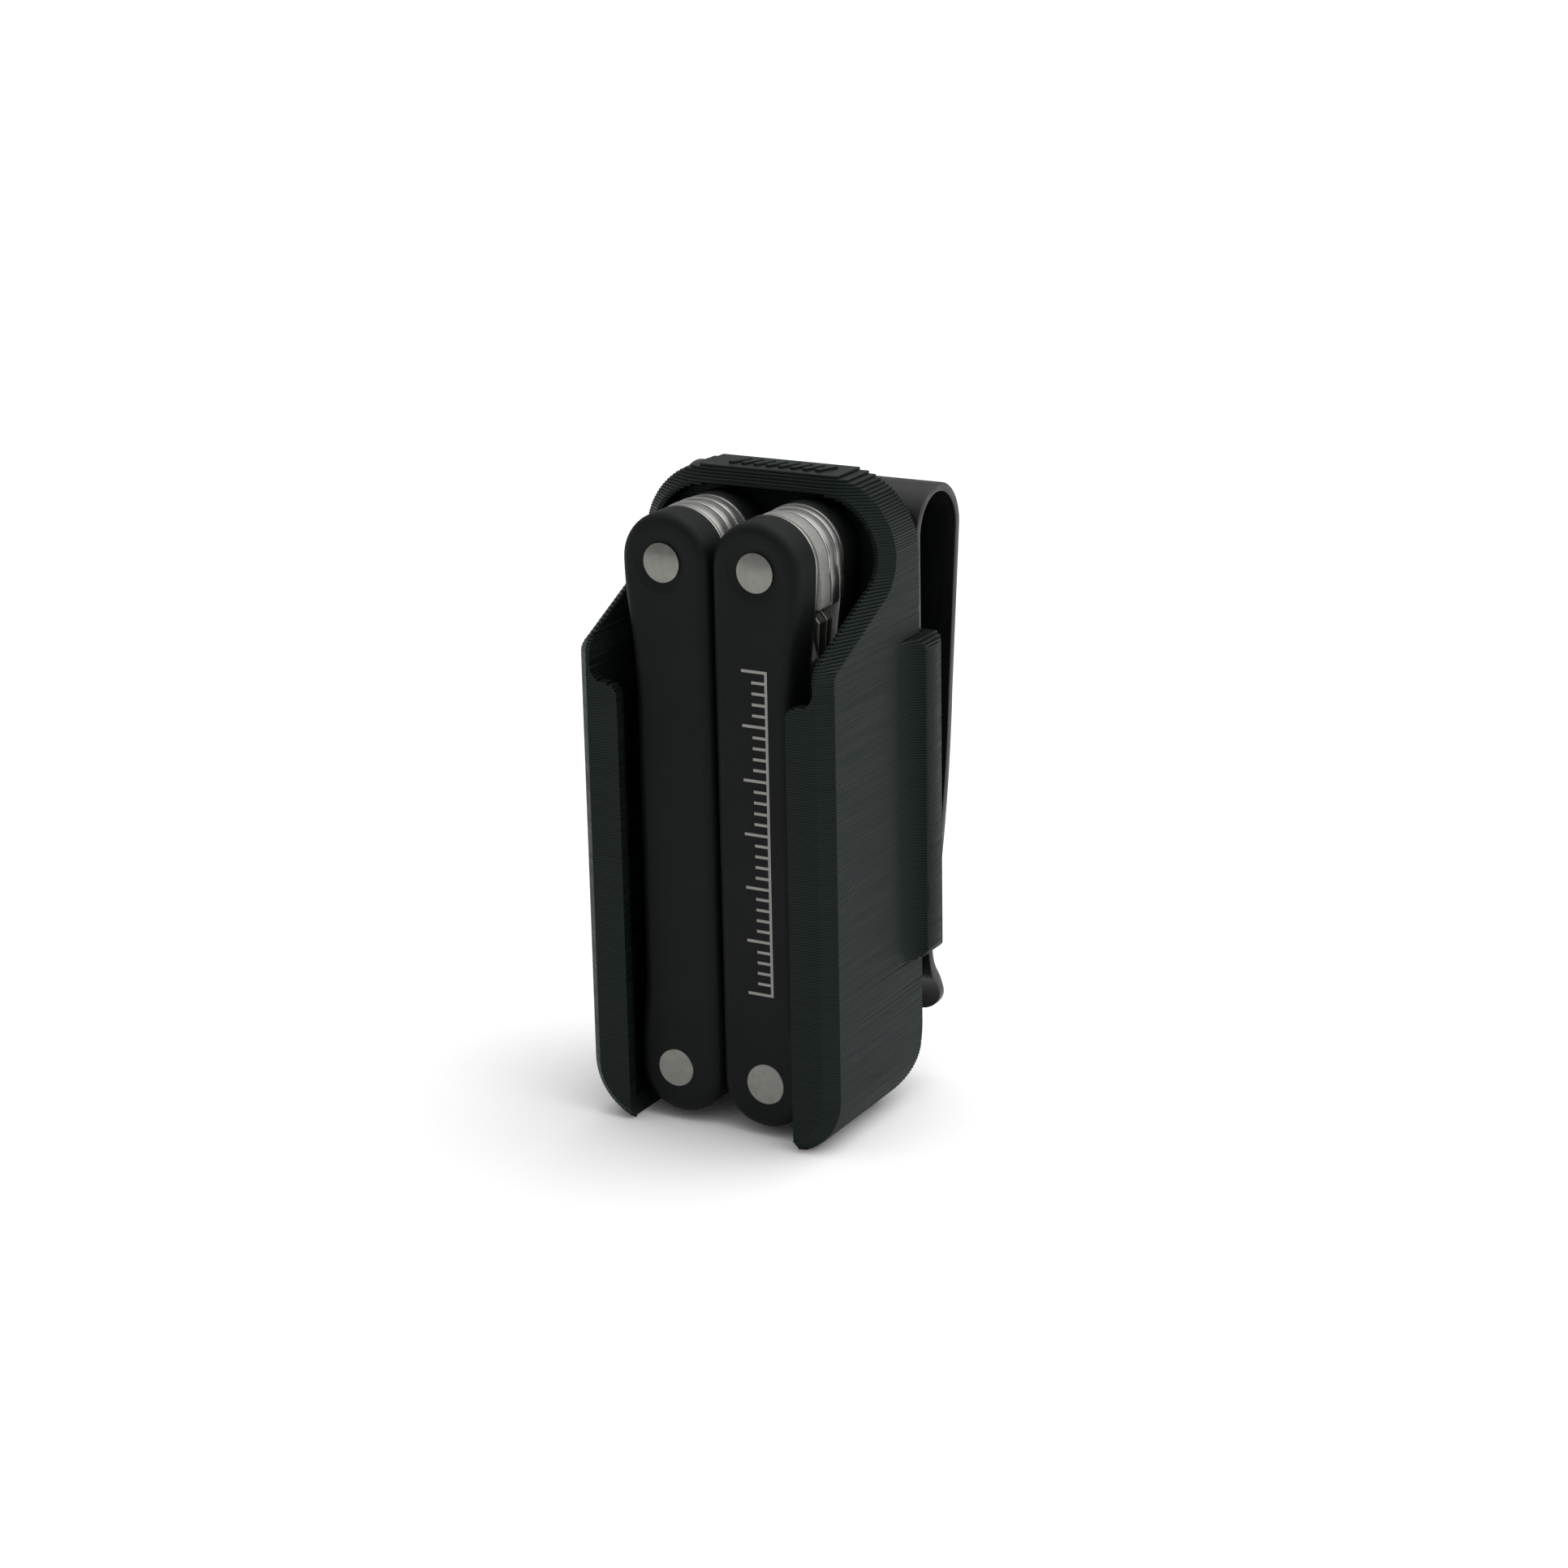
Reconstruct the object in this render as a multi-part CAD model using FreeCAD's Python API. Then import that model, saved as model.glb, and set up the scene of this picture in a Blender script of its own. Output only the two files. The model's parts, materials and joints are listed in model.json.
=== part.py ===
import FreeCAD, Part
import os

# Keychain plier tool in a printed belt holster.
# Working frame, in mm: X to the right, Y to the back, Z up. The front faces of the tool's handles lie on
# Y = 0, its two handles are mirror images about X = 0, and its lower end stands on Z = 0.
# The right-hand pieces are drawn and the left-hand ones are mirrored from them.

# ---- driving dimensions: the tool -------------------------------------------------------------------
TOOL_THICK = 12.2        # over both scales
PIVOT_X = 4.68           # rivets, from the tool's centre line
IMPLEMENT_Z = 52.2       # upper rivets, which the folding implements turn on
PLIER_Z = 4.7            # lower rivets, which the plier halves turn on
HANDLE_INNER = 0.14      # half the gap between the two handles
HALF_TOP = 8.9           # half width of the tool at the upper rivets
HALF_WAIST = 7.95        # half width along the waist
HALF_FOOT = 8.55         # half width at the lower rivets
HANDLE_TOP = 56.6
HANDLE_BOTTOM = 0.3
RIVET_SHAFT = 1.2        # radius
HEAD_DEPTH = 1.25        # how deep each rivet head is sunk
DOME_R = 5.2             # how round the upper rivets' heads are
RUNNING = 0.05           # radial clearance of a turning fit
SIDE_GAP = 0.05          # clearance beside a piece that turns

# layers through the tool's thickness, as (front, back)
FRONT_SCALE = (0.0, 3.45)
FRONT_LINER = (3.45, 3.85)
LAYER_A = (3.9, 5.55)
LAYER_A1 = (3.9, 4.7)    # the front half of layer A, for the scissors' fixed blade
LAYER_A2 = (4.75, 5.55)  # and its back half, for their moving blade
WASHER_1 = (5.6, 5.8)
LAYER_B = (5.85, 7.1)
WASHER_2 = (7.15, 7.3)
LAYER_C = (7.35, 8.2)
BACK_LINER = (8.25, 8.65)
BACK_SCALE = (8.65, TOOL_THICK)
KICK_X = 9.15            # the outer side of each tang, which stands proud of the handle
TANG_R = 4.3             # rounded top of each implement's tang

SCISSOR_X, SCISSOR_Z = 5.3, 41.6   # the scissors' screw

# plier head
HEAD_Z = 9.6             # plier pivot
HEAD_FRONT, HEAD_BACK = 4.3, 7.8
LAP_R = 3.2
PLIER_TANG_R = 3.0
JAW_TIP_Z = 31.0
TOOTH_PITCH = 0.9
TOOTH_COUNT = 13

# ---- driving dimensions: the holster ----------------------------------------------------------------
HOLSTER_HALF = 12.8
HOLSTER_FRONT = -2.0
HOLSTER_BACK = 15.5
HOLSTER_FOOT = -0.5
HOLSTER_TOP = 58.7
ARCH_R = 7.1
FOOT_R, FOOT_Z = 5.6, 4.8   # lower corners, and the height of their centres
WALL = 1.6
LIP_BACK = -0.85         # rear face of the two front lips
LIP_INNER = 8.5          # each lip's edge, 0.05 mm inside the tool's foot, so the tool snaps in
POCKET_BACK = 12.6
LIP_TOP = 39.9
FOOT_OPEN = 8.7          # half width of the opening in the bottom
FLAT_BACK = 12.5         # rear end of the flat that it stands on
RIM_Y = 10.0             # front edge of the walls beside the tool's upper end
RIM_CHAMFER = 1.2
RAIL_HALF = 14.6
RAIL_LOW, RAIL_HIGH = 13.6, 44.0
RAIL_BACK = 17.3

# ---- driving dimensions: the belt clip --------------------------------------------------------------
CLIP_THICK = 0.8
CLIP_HALF = 12.5
CLIP_FRONT = 15.6        # front face of the leaf that the rails hold
LOOP_Y, LOOP_Z, LOOP_R = 20.0, 52.4, 4.4
CLIP_LOW = 14.3          # lower end of the held leaf

# origin of the finished part: under the middle of its box, on the surface that it stands on
BACKMOST = LOOP_Y + LOOP_R
ORIGIN = FreeCAD.Vector(0, -(HOLSTER_FRONT + BACKMOST) / 2, -HOLSTER_FOOT)


# ---- helpers ----------------------------------------------------------------------------------------
def at(x, y, z):
    return FreeCAD.Vector(x, y, z)


def wire(place, start, steps):
    """A closed wire from start. A step is the next corner, or (a point on an arc, the arc's end)."""
    edges, here = [], start
    for step in list(steps) + [start]:
        arc = isinstance(step[0], tuple)
        end = step[1] if arc else step
        if abs(here[0] - end[0]) + abs(here[1] - end[1]) < 1e-6:
            continue
        if arc:
            edges.append(Part.Arc(place(*here), place(*step[0]), place(*end)).toShape())
        else:
            edges.append(Part.LineSegment(place(*here), place(*end)).toShape())
        here = end
    return Part.Wire(edges)


def round_to(centre, start, end):
    """The step for an arc about a centre, from start to end, by the shorter way."""
    across, up = (start[0] + end[0]) / 2 - centre[0], (start[1] + end[1]) / 2 - centre[1]
    radius = ((end[0] - centre[0]) ** 2 + (end[1] - centre[1]) ** 2) ** 0.5
    grow = radius / (across**2 + up**2) ** 0.5
    return (centre[0] + across * grow, centre[1] + up * grow), end


def plate(span, start, *steps):
    """A flat piece: an outline of (x, z) corners and arcs, between two depths."""
    outline = wire(lambda x, z: at(x, span[0], z), start, steps)
    return Part.Face(outline).extrude(at(0, span[1] - span[0], 0))


def side_plate(span, start, *steps):
    """As plate, but with an outline of (y, z) drawn from the side, between two places in X."""
    outline = wire(lambda y, z: at(span[0], y, z), start, steps)
    return Part.Face(outline).extrude(at(span[1] - span[0], 0, 0))


def plan_plate(span, start, *steps):
    """As plate, but with an outline of (x, y) seen from above, between two heights."""
    outline = wire(lambda x, y: at(x, y, span[0]), start, steps)
    return Part.Face(outline).extrude(at(0, 0, span[1] - span[0]))


def disc(x, z, radius, span):
    return Part.makeCylinder(radius, span[1] - span[0], at(x, span[0], z), at(0, 1, 0))


def box(low, high):
    return Part.makeBox(*[b - a for a, b in zip(low, high)], at(*low))


def mirrored(shape):
    return shape.mirror(at(0, 0, 0), at(1, 0, 0))


def edges_where(shape, test):
    return [e for e in shape.Edges if test(e.BoundBox)]


def rounded(shape, radius, test):
    return shape.makeFillet(radius, edges_where(shape, test))


def on_plane(depth):
    return lambda b: abs(b.YMin - depth) < 1e-4 and abs(b.YMax - depth) < 1e-4


# ---- handles ----------------------------------------------------------------------------------------
def handle_outline():
    """The right handle's outline: round ends, a narrower waist and a wider head."""
    middle = (HANDLE_INNER + HALF_FOOT) / 2
    head = (HANDLE_INNER + HALF_TOP) / 2
    return (
        (HANDLE_INNER, 4.5),
        ((middle, HANDLE_BOTTOM), (HALF_FOOT, 4.5)),
        ((8.45, 8.0), (8.1, 11.0)),
        ((HALF_WAIST + 0.01, 13.5), (HALF_WAIST, 16.5)),
        (HALF_WAIST, 39.5),
        ((8.1, 43.5), (8.5, 47.2)),
        ((8.8, 49.7), (HALF_TOP, 52.2)),
        ((head, HANDLE_TOP), (HANDLE_INNER, 52.2)),
    )


def rivet_seat(z, head_radius, outside, inward):
    """What a rivet takes out of a scale: a seat for its head and a hole for its shaft."""
    head = sorted((outside - inward, outside + HEAD_DEPTH * inward))
    hole = sorted((outside, outside + 4 * inward))
    return disc(PIVOT_X, z, head_radius + 0.01, head).fuse(disc(PIVOT_X, z, RIVET_SHAFT + 0.01, hole))


def scale(span, outside, inward, plier_head):
    """A black anodised side plate, its outer edge rounded, with a shallow dish round the upper rivet."""
    body = plate(span, *handle_outline())
    body = rounded(body, 1.05, on_plane(outside))
    rim = at(PIVOT_X, outside - 0.05 * inward, IMPLEMENT_Z)
    dish = Part.makeCone(3.15, 1.95, 0.2, rim, at(0, inward, 0))
    body = body.cut(dish)
    body = body.cut(rivet_seat(IMPLEMENT_Z, 1.79, outside, inward))
    return body.cut(rivet_seat(PLIER_Z, plier_head, outside, inward))


def liner(span):
    body = plate(span, *handle_outline())
    return body.cut(disc(PIVOT_X, IMPLEMENT_Z, RIVET_SHAFT + 0.01, span)).cut(
        disc(PIVOT_X, PLIER_Z, RIVET_SHAFT + 0.01, span)
    )


def rivet_head(z, radius, proud, dome):
    """The front head. A domed one is lens shaped on top, and a flat one has its edge broken."""
    if dome:
        ball = Part.makeSphere(DOME_R, at(PIVOT_X, (DOME_R**2 - radius**2) ** 0.5, z))
        return ball.common(disc(PIVOT_X, z, radius, (-proud, HEAD_DEPTH)))
    head = disc(PIVOT_X, z, radius, (-proud, HEAD_DEPTH))
    return head.makeChamfer(0.06, edges_where(head, on_plane(-proud)))


def rivet(z, radius, proud, dome):
    """A solid rivet with a head sunk in each scale."""
    head = rivet_head(z, radius, proud, dome)
    tail = head.mirror(at(0, TOOL_THICK / 2, 0), at(0, 1, 0))
    shaft = disc(PIVOT_X, z, RIVET_SHAFT, (HEAD_DEPTH, TOOL_THICK - HEAD_DEPTH))
    return shaft.fuse([head, tail]).removeSplitter()


def ring(radius, span, z):
    return disc(PIVOT_X, z, radius, span).cut(disc(PIVOT_X, z, RIVET_SHAFT + 0.01, span))


def stack_washers():
    """Thin polished washers between the tangs on the upper rivet."""
    washers = [ring(TANG_R + 0.1, span, IMPLEMENT_Z) for span in (WASHER_1, WASHER_2)]
    return Part.makeCompound(washers)


def plier_spacers():
    """Spacers on the lower rivet, one each side of the plier half."""
    front = (FRONT_LINER[1], HEAD_FRONT - SIDE_GAP)
    back = (HEAD_BACK + SIDE_GAP, BACK_LINER[0])
    return Part.makeCompound([ring(2.7, front, PLIER_Z), ring(2.7, back, PLIER_Z)])


def backspring():
    """The slip spring that bears on the tangs, held between the liners."""
    return plate(
        (FRONT_LINER[1], BACK_LINER[0]),
        (0.45, 32.0),
        (1.75, 32.0),
        (1.75, 41.0),
        (2.3, 46.4),
        ((1.6, 47.3), (0.45, 47.0)),
    )


# ---- plier head -------------------------------------------------------------------------------------
def jaw_outline():
    """The right-hand needle jaw, full thickness, above the lap joint."""
    return (
        (0.05, 13.1),
        (3.3, 12.4),
        ((4.35, 13.6), (4.3, 16.5)),
        ((3.3, 24.5), (1.55, JAW_TIP_Z - 0.6)),
        ((1.1, JAW_TIP_Z), (0.5, JAW_TIP_Z)),
        (0.05, JAW_TIP_Z - 0.2),
    )


def jaw_teeth():
    """Saw cuts across the gripping face."""
    cuts = []
    for n in range(TOOTH_COUNT):
        z = 18.2 + n * TOOTH_PITCH
        cuts.append(plate((HEAD_FRONT, HEAD_BACK), (0, z), (0.32, z + 0.2), (0, z + 0.55)))
    return cuts


def jaw_taper():
    """Wedges that thin the jaw's nose in the thickness direction."""
    front = side_plate(
        (-1, 6),
        (HEAD_FRONT - 1, 17.0),
        (HEAD_FRONT, 17.0),
        (HEAD_FRONT + 0.6, 32),
        (HEAD_FRONT - 1, 32),
    )
    back = side_plate(
        (-1, 6),
        (HEAD_BACK + 1, 17.0),
        (HEAD_BACK, 17.0),
        (HEAD_BACK - 0.6, 32),
        (HEAD_BACK + 1, 32),
    )
    return [front, back]


def plier_half(lap):
    """One plier half: the left tang, a half-thick lap over the pivot, and the right-hand jaw."""
    tang = disc(-PIVOT_X, PLIER_Z, PLIER_TANG_R, (HEAD_FRONT, HEAD_BACK))
    outline = (-6.9, 6.6), (-3.2, 2.2), (1.9, 7.0), (3.3, 12.6), (0.2, 13.3), (0.2, 12.0), (-2.6, 11.0)
    arm = plate(lap, *outline)
    pad = disc(0, HEAD_Z, LAP_R, lap)
    jaw = plate((HEAD_FRONT, HEAD_BACK), *jaw_outline()).cut(jaw_teeth() + jaw_taper())
    cutter = plate((HEAD_FRONT, HEAD_BACK), (0, 14.2), (0.35, 14.7), (0.35, 15.9), (0, 16.4))
    body = tang.fuse([arm, pad, jaw]).cut(cutter)
    body = body.cut(disc(0, HEAD_Z, 1.1 + RUNNING, (HEAD_FRONT, HEAD_BACK)))
    bore = disc(-PIVOT_X, PLIER_Z, RIVET_SHAFT + RUNNING, (HEAD_FRONT, HEAD_BACK))
    return body.cut(bore).removeSplitter()


def head_pin():
    """The plier pivot: a turned pin with thin flat heads."""
    shaft = disc(0, HEAD_Z, 1.1, (HEAD_FRONT - 0.3, HEAD_BACK + 0.3))
    heads = [
        disc(0, HEAD_Z, 2.2, (HEAD_FRONT - 0.35, HEAD_FRONT - 0.03)),
        disc(0, HEAD_Z, 2.2, (HEAD_BACK + 0.03, HEAD_BACK + 0.35)),
    ]
    return shaft.fuse(heads).removeSplitter()


def jaw_spring():
    """A small leaf spring on the right tang, which meets its twin and pushes the handles apart."""
    span = (HEAD_FRONT + 0.5, HEAD_BACK - 0.5)
    upper, lower = ((1.3, 3.1), (0.55, 4.4)), ((1.0, 2.8), (2.9, 2.2))
    leaf = plate(span, (2.9, 2.2), (2.9, 2.6), upper, (0.25, 4.4), lower)
    return leaf.cut(disc(PIVOT_X, PLIER_Z, PLIER_TANG_R, span))


# ---- folding implements, drawn folded in the right handle -------------------------------------------
def tang(span):
    """The round top of an implement, with its straight outer side and the step below it."""
    x, z, r = PIVOT_X, IMPLEMENT_Z, TANG_R
    return plate(
        span,
        (x - r, z),
        ((x, z + r), (x + r, z)),
        (KICK_X, 50.5),
        (KICK_X, 48.75),
        ((KICK_X - 0.1, 48.5), (KICK_X - 0.35, 48.4)),
        (7.4, 48.2),
        (7.1, 46.6),
        (2.9, 46.9),
        (2.3, 48.6),
    )


def bored(shape, span):
    return shape.cut(disc(PIVOT_X, IMPLEMENT_Z, RIVET_SHAFT + RUNNING, span)).removeSplitter()


def knife():
    blade = plate(
        LAYER_A,
        (2.9, 47.5),
        (7.1, 47.5),
        (7.7, 46.2),
        (7.9, 43.9),
        (7.6, 42.6),
        (7.6, 24.0),
        ((7.1, 16.0), (5.2, 10.8)),
        (4.9, 11.0),
        (4.9, 31.4),
        ((4.4, 32.6), (3.2, 33.4)),
        (2.5, 44.6),
    )
    bevel = side_plate((4.8, 6.6), (3.0, 31.0), (3.9, 31.0), (4.35, 10.0), (3.0, 10.0))
    nick = plate((3.9, 4.2), (3.5, 41.0), ((4.1, 37.6), (3.5, 34.2)), (3.9, 37.6))
    return bored(tang(LAYER_A).fuse(blade).cut([bevel, nick]), LAYER_A)


def file_grooves():
    """Slanting cuts across the file's front face."""
    front = (LAYER_B[0] - 1, LAYER_B[0] + 0.12)
    heights = [13.5 + 0.8 * n for n in range(30)]
    return [plate(front, (5.1, z), (7.5, z + 1.2), (7.5, z + 1.5), (5.1, z + 0.3)) for z in heights]


def nail_file():
    body = plate(
        LAYER_B,
        (4.6, 47.5),
        (7.1, 47.5),
        (7.85, 46.6),
        (7.7, 43.8),
        (7.7, 13.4),
        ((7.0, 11.0), (5.7, 10.2)),
        (4.95, 10.9),
        (4.95, 31.4),
        (4.3, 33.0),
    )
    return bored(tang(LAYER_B).fuse(body).cut(file_grooves()), LAYER_B)


def flat_driver():
    body = plate(
        LAYER_C,
        (2.9, 47.5),
        (7.1, 47.5),
        (7.85, 46.6),
        (7.6, 43.6),
        (7.6, 20.4),
        (7.3, 19.8),
        (5.2, 19.8),
        (4.9, 20.4),
        (4.9, 31.4),
        ((4.2, 32.6), (3.2, 33.2)),
        (2.5, 44.0),
    )
    return bored(tang(LAYER_C).fuse(body), LAYER_C)


def scissor_frame():
    """The half that carries the tang, with the thumb tab that stands out at the handle's side."""
    blade = plate(
        LAYER_A1,
        (2.9, 47.5),
        (7.1, 47.5),
        (7.7, 46.0),
        (8.25, 43.9),
        (7.9, 43.3),
        (6.95, 41.15),
        (6.95, 38.0),
        ((6.7, 29.0), (5.9, 22.0)),
        (5.3, 21.6),
        (4.9, 22.2),
        (4.9, 31.6),
        (4.3, 38.0),
        (3.2, 44.0),
    )
    body = tang(LAYER_A).fuse(blade).cut(disc(SCISSOR_X, SCISSOR_Z, 0.6 + RUNNING, LAYER_A1))
    return bored(body, LAYER_A)


def scissor_blade():
    """The half that turns on the frame, with a short lever above the screw."""
    body = plate(
        LAYER_A2,
        (4.0, 45.4),
        ((5.2, 46.0), (6.3, 45.4)),
        (6.7, 43.4),
        (6.9, 41.2),
        (7.0, 33.0),
        ((6.9, 27.0), (6.3, 22.3)),
        (5.6, 22.0),
        (4.9, 30.0),
        (4.3, 37.6),
        (3.8, 42.0),
    )
    return body.cut(disc(SCISSOR_X, SCISSOR_Z, 0.6 + RUNNING, LAYER_A2))


def scissor_screw():
    return disc(SCISSOR_X, SCISSOR_Z, 0.6, (LAYER_A1[0], LAYER_A2[1]))


def scissor_spring():
    """The thin leaf that opens the scissors, its root against the tang's step."""
    span = (LAYER_A2[0] + 0.1, LAYER_A2[1] - 0.1)
    return plate(span, (7.21, 47.2), ((7.3, 44.6), (6.95, 43.0)), (7.2, 43.0), ((7.6, 44.8), (7.32, 47.8)))


def bottle_opener():
    body = plate(
        LAYER_B,
        (4.6, 47.5),
        (7.1, 47.5),
        (7.85, 46.6),
        (7.7, 43.8),
        (7.7, 31.4),
        ((7.4, 29.6), (6.4, 29.2)),
        ((5.9, 29.7), (6.2, 30.4)),
        ((6.3, 31.6), (5.6, 32.2)),
        (5.25, 31.4),
        (5.25, 26.2),
        (7.7, 26.2),
        (7.7, 19.6),
        (4.95, 19.6),
        (4.95, 31.4),
        (4.3, 33.0),
    )
    return bored(tang(LAYER_B).fuse(body), LAYER_B)


def phillips_driver():
    body = plate(
        LAYER_C,
        (2.9, 47.5),
        (7.1, 47.5),
        (7.85, 46.6),
        (7.6, 43.6),
        (7.6, 24.4),
        ((7.5, 22.6), (6.9, 21.6)),
        (6.9, 18.6),
        (6.5, 17.4),
        (6.0, 17.4),
        (5.6, 18.6),
        (5.6, 21.6),
        ((5.0, 22.6), (4.9, 24.4)),
        (4.9, 31.4),
        ((4.2, 32.6), (3.2, 33.2)),
        (2.5, 44.0),
    )
    return bored(tang(LAYER_C).fuse(body), LAYER_C)


# ---- holster ----------------------------------------------------------------------------------------
def arch(span, inset, tip):
    """The holster's upright outline, moved in by inset: a rounded top, and corners curved in at the foot."""
    half, crown, foot_r = HOLSTER_HALF - inset, HOLSTER_TOP - inset, FOOT_R - inset
    flat, top = half - (ARCH_R - inset), crown - (ARCH_R - inset)
    knee = half - foot_r
    low = FOOT_Z - (foot_r**2 - (tip - knee) ** 2) ** 0.5
    return plate(
        span,
        (-tip, low),
        (tip, low),
        round_to((knee, FOOT_Z), (tip, low), (half, FOOT_Z)),
        (half, top),
        round_to((flat, top), (half, top), (flat, crown)),
        (-flat, crown),
        round_to((-flat, top), (-flat, crown), (-half, top)),
        (-half, FOOT_Z),
        round_to((-knee, FOOT_Z), (-half, FOOT_Z), (-tip, low)),
    )


def holster_block():
    """The outside: an arched block, trimmed by its side profile."""
    block = arch((HOLSTER_FRONT, HOLSTER_BACK), 0, HOLSTER_HALF - FOOT_R)
    profile = side_plate(
        (-HOLSTER_HALF - 1, HOLSTER_HALF + 1),
        (HOLSTER_FRONT, HOLSTER_FOOT - 1),
        (HOLSTER_FRONT, 43.0),
        ((-1.65, 44.6), (-0.5, 45.45)),
        (7.9, 49.45),
        ((9.45, 50.6), (RIM_Y, 52.4)),
        (RIM_Y, HOLSTER_TOP + 1),
        (HOLSTER_BACK, HOLSTER_TOP + 1),
        (HOLSTER_BACK, 7.0),
        ((14.4, 2.7), (FLAT_BACK, 0.2)),
        (FLAT_BACK, HOLSTER_FOOT - 1),
    )
    return block.common(profile)


def holster_pocket():
    """The room for the tool, open in front between the lips and at the foot."""
    inner, front = HOLSTER_HALF - WALL, HOLSTER_FRONT - 1
    pocket = arch((LIP_BACK, POCKET_BACK), WALL, FOOT_OPEN)
    drain = box((-FOOT_OPEN, LIP_BACK, HOLSTER_FOOT - 1), (FOOT_OPEN, POCKET_BACK, FOOT_Z))
    window = box((-LIP_INNER, front, HOLSTER_FOOT - 1), (LIP_INNER, LIP_BACK + 1, 44))
    lip_top = plate(
        (front, LIP_BACK + 0.01),
        (LIP_INNER - 1, LIP_TOP),
        (LIP_INNER, LIP_TOP),
        ((LIP_INNER + 0.3, LIP_TOP + 0.85), (LIP_INNER + 1.1, LIP_TOP + 1.2)),
        (inner - 0.7, LIP_TOP + 1.4),
        ((inner - 0.15, LIP_TOP + 2.0), (inner, LIP_TOP + 3.1)),
        (inner, 60.0),
        (LIP_INNER - 1, 60.0),
    )
    above = box((-inner, front, LIP_TOP + 3.0), (inner, LIP_BACK + 0.5, 60))
    return pocket.fuse([drain, window, lip_top, mirrored(lip_top), above])


def rail():
    """A thick rail up the holster's rear corner, hooked over the edge of the clip's leaf."""
    section = plan_plate(
        (RAIL_LOW - 0.2, RAIL_HIGH + 0.2),
        (12.5, 11.0),
        (HOLSTER_HALF, 11.3),
        ((13.25, 12.75), (14.35, 13.6)),
        ((RAIL_HALF, 14.9), (14.45, 16.2)),
        ((14.2, 16.9), (13.4, RAIL_BACK)),
        (11.2, RAIL_BACK),
        (11.2, 16.5),
        (12.6, 16.5),
        (12.6, 15.4),
        (12.5, 15.4),
    )
    ends = plate(
        (11, 18.5),
        (10.5, RAIL_LOW - 0.1),
        (12.6, RAIL_LOW),
        ((14.0, RAIL_LOW + 0.55), (RAIL_HALF + 0.2, RAIL_LOW + 2.0)),
        (RAIL_HALF + 0.2, RAIL_HIGH - 1.6),
        ((14.2, RAIL_HIGH - 0.5), (12.6, RAIL_HIGH)),
        (10.5, RAIL_HIGH + 0.1),
    )
    return section.common(ends)


def rim_chamfered(shell):
    """Breaks the outer edge of the front rim all round."""
    outside = HOLSTER_HALF - 1e-3

    def on_rim(b):
        side = (b.XMin > outside or b.XMax < -outside) and b.YMax < RIM_Y + 0.01
        front = b.YMax < HOLSTER_FRONT + 0.01 and b.ZMin < 42
        crown = abs(b.YMin - RIM_Y) + abs(b.YMax - RIM_Y) < 0.01 and b.ZMax > HOLSTER_TOP - 1e-3
        return side or front or crown

    return shell.makeChamfer(RIM_CHAMFER, edges_where(shell, on_rim))


def holster_shell():
    block = rim_chamfered(holster_block())
    below = box((-20, -20, HOLSTER_FOOT - 5), (20, 20, HOLSTER_FOOT))
    shell = block.cut(below).cut(holster_pocket())
    return shell.fuse([rail(), mirrored(rail())]).removeSplitter()


# ---- belt clip --------------------------------------------------------------------------------------
def strip(*steps):
    """A bent strip seen from the side: its front edge is followed up and its rear edge down."""
    return side_plate((-CLIP_HALF, CLIP_HALF), *steps)


def clip_base():
    """The leaf that the rails hold."""
    back = CLIP_FRONT + CLIP_THICK
    leaf = strip((CLIP_FRONT, CLIP_LOW), (CLIP_FRONT, LOOP_Z), (back, LOOP_Z), (back, CLIP_LOW))
    return leaf


def clip_loop():
    """The turned-over top, which is the spring."""
    inner = LOOP_R - CLIP_THICK
    return strip(
        (LOOP_Y - LOOP_R, LOOP_Z),
        ((LOOP_Y, LOOP_Z + LOOP_R), (LOOP_Y + LOOP_R, LOOP_Z)),
        (LOOP_Y + inner, LOOP_Z),
        ((LOOP_Y, LOOP_Z + inner), (LOOP_Y - inner, LOOP_Z)),
    )


def clip_arm():
    """The free leaf, bowed in towards the rails and turned out at its end."""
    back, t = LOOP_Y + LOOP_R, CLIP_THICK
    arm = strip(
        (back, LOOP_Z),
        ((23.65, 45.0), (22.8, 36.9)),
        ((21.4, 25.8), (18.35, 13.9)),
        ((18.4, 12.4), (19.1, 10.8)),
        ((20.6, 8.3), (21.1, 6.2)),
        (21.1 - t, 6.0),
        ((19.8, 8.0), (19.1 - t, 10.0)),
        ((18.4 - t, 12.3), (18.35 - t, 14.1)),
        ((21.4 - t, 26.0), (22.8 - t, 37.0)),
        ((23.65 - t, 45.1), (back - t, LOOP_Z)),
    )
    face = plate(
        (0, 40),
        (-CLIP_HALF - 1, 60),
        (-CLIP_HALF - 1, 30),
        (-CLIP_HALF, 30),
        (-CLIP_HALF, 8.4),
        ((-CLIP_HALF + 0.65, 6.8), (-CLIP_HALF + 2.2, 6.05)),
        (CLIP_HALF - 2.2, 6.05),
        ((CLIP_HALF - 0.65, 6.8), (CLIP_HALF, 8.4)),
        (CLIP_HALF, 30),
        (CLIP_HALF + 1, 30),
        (CLIP_HALF + 1, 60),
    )
    return arm.common(face)


# ---- assembly ---------------------------------------------------------------------------------------
def handle_nodes(side, plier_head):
    """The pieces of one handle, by name."""
    turn = mirrored if side == "left" else lambda shape: shape
    pieces = {
        "front_scale": scale(FRONT_SCALE, 0.0, 1, plier_head),
        "back_scale": scale(BACK_SCALE, TOOL_THICK, -1, plier_head),
        "front_liner": liner(FRONT_LINER),
        "back_liner": liner(BACK_LINER),
        "implement_rivet": rivet(IMPLEMENT_Z, 1.79, 1.0, True),
        "plier_rivet": rivet(PLIER_Z, plier_head, 0.06, False),
        "stack_washers": stack_washers(),
        "plier_spacers": plier_spacers(),
        "backspring": backspring(),
    }
    return {f"{side}_{name}": turn(shape) for name, shape in pieces.items()}


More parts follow.
